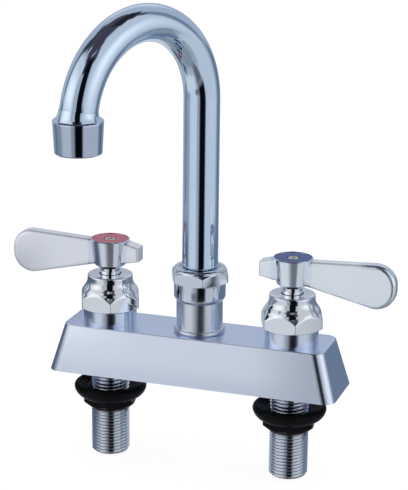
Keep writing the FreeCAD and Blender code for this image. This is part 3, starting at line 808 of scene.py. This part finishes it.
def curve(start: Point, pull: Point, end: Point, steps: int = 6) -> list[Point]:
    """A bend of a profile.

    Args:
        start: Where it starts, which isn't among the points it gives.
        pull: The corner that it rounds.
        end: Where it ends.
        steps: How many points it gives.

    Returns:
        The points after start.
    """
    points = []
    for i in range(1, steps + 1):
        share = i / steps
        first, second, third = (1 - share) ** 2, 2 * share * (1 - share), share**2
        points.append(tuple(first * a + second * b + third * c for a, b, c in zip(start, pull, end)))
    return points


def line(start: Point, end: Point, steps: int) -> list[Point]:
    """Even points after start on a straight run of a profile."""
    return curve(start, ((start[0] + end[0]) / 2, (start[1] + end[1]) / 2), end, steps)


class Form:
    """A piece in the making, in millimetres about an upright axis."""

    def __init__(self) -> None:
        """Starts empty."""
        self.mesh = bmesh.new()

    def wire(self, points: list[Point], closed: bool = True) -> None:
        """Draws a profile in the XZ plane.

        Args:
            points: Radius and height of each corner.
            closed: Whether the last corner joins the first.
        """
        corners = [self.mesh.verts.new((radius, 0, height)) for radius, height in points]
        for first, second in zip(corners, corners[1:] + corners[:1] if closed else corners[1:]):
            self.mesh.edges.new((first, second))

    def turn(self, points: list[Point], steps: int = 96) -> None:
        """Spins a closed profile all the way round.

        Args:
            points: Radius and height of each corner.
            steps: Facets round the axis.
        """
        self.wire(points)
        geometry = self.mesh.verts[:] + self.mesh.edges[:]
        bmesh.ops.spin(self.mesh, geom=geometry, axis=UP, angle=math.tau, steps=steps, use_merge=True)
        bmesh.ops.remove_doubles(self.mesh, verts=self.mesh.verts, dist=1e-4)
        bmesh.ops.recalc_face_normals(self.mesh, faces=self.mesh.faces)

    def flats(self, across: float, corner_deg: float, foot: float, ease: float) -> None:
        """Presses the outside above a height in to six flats with rounded edges.

        Args:
            across: Distance across flats.
            corner_deg: Where one corner stands, from the front towards +X.
            foot: Lowest height that is pressed.
            ease: Width of the edges' rounding.
        """
        sixth = math.radians(60)
        first = math.radians(corner_deg - 90)
        for vert in self.mesh.verts:
            radius = vert.co.xy.length
            angle = math.atan2(vert.co.y, vert.co.x) - first
            angle -= CROWDING / 6 * math.sin(6 * angle)
            if vert.co.z > foot - 1e-3 and radius > across / 2 - MARGIN:
                away = abs((angle + sixth / 2) % sixth - sixth / 2)
                flat = across / 2 / math.cos(sixth / 2 - away)
                near = max(ease - abs(radius - flat), 0.0)
                radius = min(radius, flat) - near * near / ease / 4
            vert.co.x = radius * math.cos(angle + first)
            vert.co.y = radius * math.sin(angle + first)

    def finish(self, name: str, body: str, place: Vector, slot: str, *replaced: str) -> bpy.types.Object:
        """Moves the piece to its place, in metres, and sets it on its body.

        Args:
            name: The piece's name.
            body: The body it rides on.
            place: Where its axis stands, in metres.
            slot: The record's material slot. Not used.
            replaced: The CAD nodes it stands for.

        Returns:
            The piece.
        """
        bmesh.ops.scale(self.mesh, vec=(MM, MM, MM), verts=self.mesh.verts)
        bmesh.ops.translate(self.mesh, vec=place, verts=self.mesh.verts)
        for face in self.mesh.faces:
            face.smooth = True
        mesh = bpy.data.meshes.new(name)
        self.mesh.to_mesh(mesh)
        self.mesh.free()
        mesh.set_sharp_from_angle(angle=math.radians(SHARP_DEG))
        piece = bpy.data.objects.new(name, mesh)
        bpy.context.scene.collection.objects.link(piece)
        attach(piece, body)
        if replaced:
            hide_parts(*replaced)
        return piece


class Dresser:
    """Gives CAD nodes and new pieces their finishes, each built once."""

    def __init__(self) -> None:
        """Starts with no finish built."""
        self.built: dict[str, bpy.types.Material] = {}

    def material(self, finish: Finish) -> bpy.types.Material:
        """The finish's material, built on first use.

        Args:
            finish: The finish.

        Returns:
            Its material.
        """
        if finish.name not in self.built:
            self.built[finish.name] = finish.material()
        return self.built[finish.name]

    def coat(self, piece: bpy.types.Object, finish: Finish) -> None:
        """Gives a new piece its finish."""
        piece.data.materials.append(self.material(finish))
        log.info("made %s in %s", piece.name, finish.name)

    def dress(self, node: str, finish: Finish) -> None:
        """Gives a CAD node a finish.

        Args:
            node: The node's name.
            finish: The finish.
        """
        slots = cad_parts[node].material_slots
        for slot in slots:
            slot.material = self.material(finish)
        log.info("dressed %s in %s", node, finish.name)


@dataclass
class Body:
    """The deck casting."""

    def build(self, dresser: Dresser) -> None:
        """Dresses the casting."""
        dresser.dress("deck_body", SATIN)


@dataclass
class Valve:
    """One valve: cartridge, stem, bonnet and lever handle."""

    side: Side
    reach: float = 50.8
    flats: float = 30.62
    band: float = 12.19
    bore: float = 6.0
    cavity: float = 9.89
    skirt: float = 11.96
    skirt_foot: float = 25.74
    hex_foot: float = 33.5
    hex_head: float = 39.2
    shoulder: float = 42.4
    dome: float = 45.4
    neck: float = 49.0
    top: float = 52.0
    crown: float = 1.4
    roof: float = 2.5
    edge: float = 0.5
    corner_degs: tuple[float, float] = (21.2, 22.2)
    ledge: float = 0.1
    slope: float = 1.4
    flare: float = 1.4
    dome_pull: Point = (2.5, -1.3)
    neck_pull: Point = (0.25, 1.7)

    def place(self) -> Vector:
        """Where the valve's axis stands, in metres."""
        return Vector((self.side.value * self.reach * MM, 0, 0))

    def bonnet(self, dresser: Dresser) -> None:
        """Turns the bonnet's dome, neck and band and presses its six flats.

        Args:
            dresser: Gives the pieces their finishes.
        """
        flat, corner = self.flats / 2, self.flats / math.sqrt(3)
        foot, brim = (flat - self.ledge, self.hex_foot), (corner, self.hex_foot + self.slope)
        high, shoulder = (corner, self.hex_head), (flat + self.ledge, self.shoulder)
        dome, neck = (self.band + self.flare, self.dome), (self.band, self.neck)
        head, rim = (self.band, self.top - self.crown), (self.band - self.crown, self.top)
        pulls = [(self.band + out, self.dome + up) for out, up in (self.dome_pull, self.neck_pull)]
        profile = [(self.cavity, self.skirt_foot), (self.skirt, self.skirt_foot)]
        profile += [(self.skirt, self.hex_foot), foot]
        profile += line(foot, brim, 8) + line(brim, high, 4) + line(high, shoulder, 14)
        profile += curve(shoulder, pulls[0], dome, 8) + curve(dome, pulls[1], neck, 8)
        profile += [head] + curve(head, (self.band, self.top), rim, 7)
        ceiling = self.top - self.roof
        profile += [(self.bore, self.top), (self.bore, ceiling), (self.cavity, ceiling)]
        form = Form()
        form.turn(profile, FACETS)
        form.flats(self.flats, self.corner_degs[0 if self.side is Side.HOT else 1], self.hex_foot, self.edge)
        word = self.side.word
        piece = form.finish(f"{word}_domed_bonnet", "body", self.place(), "chrome", f"{word}_bonnet")
        dresser.coat(piece, POLISHED)

    def build(self, dresser: Dresser) -> None:
        """Makes the bonnet and dresses the valve's other pieces.

        Args:
            dresser: Gives the pieces their finishes.
        """
        self.bonnet(dresser)
        word = self.side.word
        index, lever = (RED, HOT_LEVER) if self.side is Side.HOT else (BLUE, COLD_LEVER)
        for node, finish in (
            ("seat_seal", RUBBER),
            ("fixed_disc", CERAMIC),
            ("moving_disc", CERAMIC),
            ("cartridge", BRASS),
            ("stem", POLISHED),
            ("stem_seals", RUBBER),
            ("index_ring", index),
            ("handle", lever),
            ("handle_screw", PLATED),
        ):
            dresser.dress(f"{word}_{node}", finish)


@dataclass
class Inlet:
    """One threaded shank with its clamp washer and nut."""

    side: Side
    reach: float = 50.8
    radius: float = 10.4
    root: float = 9.35
    bore: float = 7.6
    pitch: float = 1.814
    bottom: float = -49.0
    top: float = 7.9
    chamfer: float = 1.2
    land: float = 0.1
    crest: tuple[Point, ...] = ((0.22, -0.26), (0.06, -0.13), (0, 0), (0.06, 0.13), (0.22, 0.26))
    steps: int = 60

    def shank(self, dresser: Dresser) -> None:
        """Rolls the thread on the shank, right-handed, with its end chamfered.

        Args:
            dresser: Gives the pieces their finishes.
        """
        form = Form()
        half = self.pitch / 2
        start = self.bottom - self.pitch
        ridge = [(self.root, -half), (self.root, self.land - half)]
        ridge += [(self.radius - drop, height) for drop, height in self.crest]
        ridge += [(self.root, half - self.land), (self.root, half)]
        form.wire([(radius, height + start) for radius, height in ridge], closed=False)
        geometry = form.mesh.verts[:] + form.mesh.edges[:]
        rise = (0, 0, self.pitch / self.steps)
        bmesh.ops.spin(form.mesh, geom=geometry, axis=UP, angle=math.tau, steps=self.steps, dvec=rise)
        turn = form.mesh.verts[:] + form.mesh.edges[:] + form.mesh.faces[:]
        for i in range(1, math.ceil((self.top - self.bottom) / self.pitch) + 3):
            copy = bmesh.ops.duplicate(form.mesh, geom=turn)["geom"]
            corners = [part for part in copy if isinstance(part, bmesh.types.BMVert)]
            bmesh.ops.translate(form.mesh, vec=(0, 0, self.pitch * i), verts=corners)
        bmesh.ops.remove_doubles(form.mesh, verts=form.mesh.verts, dist=1e-3)
        rims = self.trim(form, self.bottom, -1) + self.trim(form, self.top, 1)
        for vert in form.mesh.verts:
            limit = self.radius - max(0.0, self.chamfer - (vert.co.z - self.bottom))
            if vert.co.xy.length > limit:
                vert.co.xy *= limit / vert.co.xy.length
        bmesh.ops.bridge_loops(form.mesh, edges=rims)
        bmesh.ops.recalc_face_normals(form.mesh, faces=form.mesh.faces)
        word = self.side.word
        place = Vector((self.side.value * self.reach * MM, 0, 0))
        piece = form.finish(f"{word}_threaded_shank", "body", place, "chrome_thread", f"{word}_inlet_shank")
        dresser.coat(piece, THREAD)

    def trim(self, form: Form, height: float, way: int) -> list[bmesh.types.BMEdge]:
        """Cuts the thread square at a height and turns the end in to the bore.

        Args:
            form: The piece in the making.
            height: Where it ends.
            way: 1 for its top, -1 for its bottom.

        Returns:
            The edges round the bore.
        """
        everything = form.mesh.verts[:] + form.mesh.edges[:] + form.mesh.faces[:]
        cut = bmesh.ops.bisect_plane(
            form.mesh, geom=everything, plane_co=(0, 0, height), plane_no=(0, 0, way), clear_outer=True
        )["geom_cut"]
        rim = [edge for edge in cut if isinstance(edge, bmesh.types.BMEdge)]
        step = bmesh.ops.extrude_edge_only(form.mesh, edges=rim)["geom"]
        for vert in step:
            if isinstance(vert, bmesh.types.BMVert):
                vert.co.xy *= self.bore / vert.co.xy.length
        return [edge for edge in step if isinstance(edge, bmesh.types.BMEdge) and edge.is_boundary]

    def build(self, dresser: Dresser) -> None:
        """Makes the shank and dresses the clamp.

        Args:
            dresser: Gives the pieces their finishes.
        """
        word = self.side.word
        self.shank(dresser)
        dresser.dress(f"{word}_mounting_washer", PLASTIC)
        dresser.dress(f"{word}_mounting_nut", PLASTIC)


@dataclass
class Spout:
    """Post, nut, gooseneck and aerator."""

    nut_flats: float = 28.6
    nut_barrel: float = 13.77
    nut_bore: float = 11.63
    nut_foot: float = 43.0
    nut_hex: float = 53.0
    nut_head: float = 58.2
    nut_top: float = 61.5
    nut_lip: float = 12.4
    nut_recess: float = 11.2
    nut_corner_deg: float = 23.5
    nut_edge: float = 0.45
    nut_ledge: float = 0.1
    nut_slope: float = 1.4
    nut_crown: float = 1.5
    nut_round: float = 0.5
    nut_sink: float = 1.3
    nut_cove: float = 2.6
    cove_pull: Point = (-0.2, 1.2)
    tube_hole: float = 9.58
    web_foot: float = 54.45

    def nut(self, dresser: Dresser) -> None:
        """Turns the spout nut's barrel, crown and recess and presses its six flats.

        Args:
            dresser: Gives the pieces their finishes.
        """
        flat, corner = self.nut_flats / 2, self.nut_flats / math.sqrt(3)
        foot, waist = (self.nut_bore + 0.5, self.nut_foot), (self.nut_barrel, self.nut_foot + self.nut_cove)
        barrel, step = (self.nut_barrel, self.nut_hex), (flat + self.nut_ledge, self.nut_hex + self.nut_ledge)
        low, high = (corner, self.nut_hex + self.nut_slope), (corner, self.nut_head)
        crown, lip = (flat, self.nut_head + self.nut_crown), (self.nut_lip, self.nut_top)
        pull = (self.nut_barrel + self.cove_pull[0], self.nut_foot + self.cove_pull[1])
        well = (self.nut_recess, self.nut_top - self.nut_round)
        floor = self.nut_top - self.nut_sink
        profile = [(self.nut_bore, self.nut_foot), foot] + curve(foot, pull, waist, 6)
        profile += [barrel, step] + line(step, low, 8) + line(low, high, 4) + line(high, crown, 10)
        profile += curve(crown, (flat - 0.4, self.nut_top - self.nut_round), lip, 8)
        profile += curve(lip, (self.nut_recess, self.nut_top), well, 4)
        profile += [(self.nut_recess, floor), (self.tube_hole, floor)]
        profile += [(self.tube_hole, self.web_foot), (self.nut_bore, self.web_foot)]
        form = Form()
        form.turn(profile, FACETS)
        form.flats(self.nut_flats, self.nut_corner_deg, self.nut_hex, self.nut_edge)
        dresser.coat(form.finish("spout_hex_nut", "body", Vector(), "chrome", "spout_nut"), PRESSED)

    def build(self, dresser: Dresser) -> None:
        """Makes the nut and dresses the spout's other pieces.

        Args:
            dresser: Gives the pieces their finishes.
        """
        self.nut(dresser)
        for node, finish in (
            ("spout_post", BUFFED),
            ("thrust_washer", NYLON),
            ("spout_foot", BRASS),
            ("foot_seals", RUBBER),
            ("spout_tube", REFLECTION_TINTED_CHROME),
            ("tip_collar", REFLECTION_TINTED_CHROME),
            ("aerator_shell", AERATOR),
            ("aerator_insert", NYLON),
            ("aerator_washer", RUBBER),
        ):
            dresser.dress(node, finish)


def corners() -> list[list[float]]:
    """The lowest and highest corner of the shown object."""
    return [list(corner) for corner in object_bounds()]


def main() -> None:
    """Builds every sub-assembly and the studio."""
    logging.basicConfig(level=logging.INFO, format="%(message)s")
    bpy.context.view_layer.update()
    dresser = Dresser()
    Studio().build()
    Body().build(dresser)
    for side in Side:
        Valve(side).build(dresser)
        Inlet(side).build(dresser)
    Spout().build(dresser)


if __name__ == "__main__":
    main()
